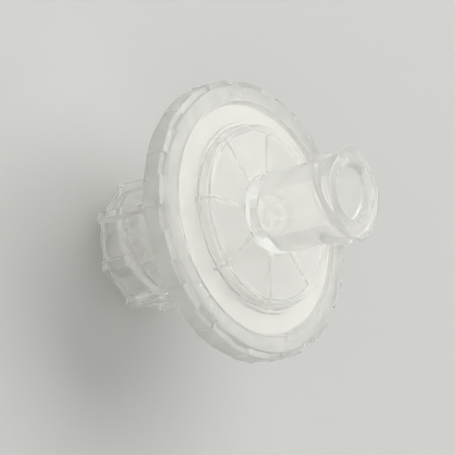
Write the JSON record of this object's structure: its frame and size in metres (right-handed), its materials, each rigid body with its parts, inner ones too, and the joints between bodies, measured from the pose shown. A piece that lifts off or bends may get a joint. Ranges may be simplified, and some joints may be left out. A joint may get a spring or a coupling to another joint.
{
  "type": "syringe filter",
  "caption": "Clear disc-shaped inline filter: a threaded luer socket inlet, a membrane clamped between ribbed halves, and a luer tip outlet in a ribbed locking collar.",
  "frame": {"origin": "centre of the end of the outlet tip, at the bottom of the part", "axes": "+Z along the flow axis from the outlet tip to the mouth of the inlet hub; +X along one of the flow ribs under the inlet drum's roof"},
  "size_m": [0.0234, 0.0234, 0.0251],
  "materials": {
    "clear_plastic": "clear moulded plastic, slightly milky",
    "ring_plastic": "clear moulded plastic, a little greyer",
    "membrane": "white porous film"
  },
  "bodies": {
    "root": {"inlet_housing": "clear_plastic", "outlet_housing": "clear_plastic", "membrane": "membrane", "seal_ring": "ring_plastic"}
  },
  "joints": []
}
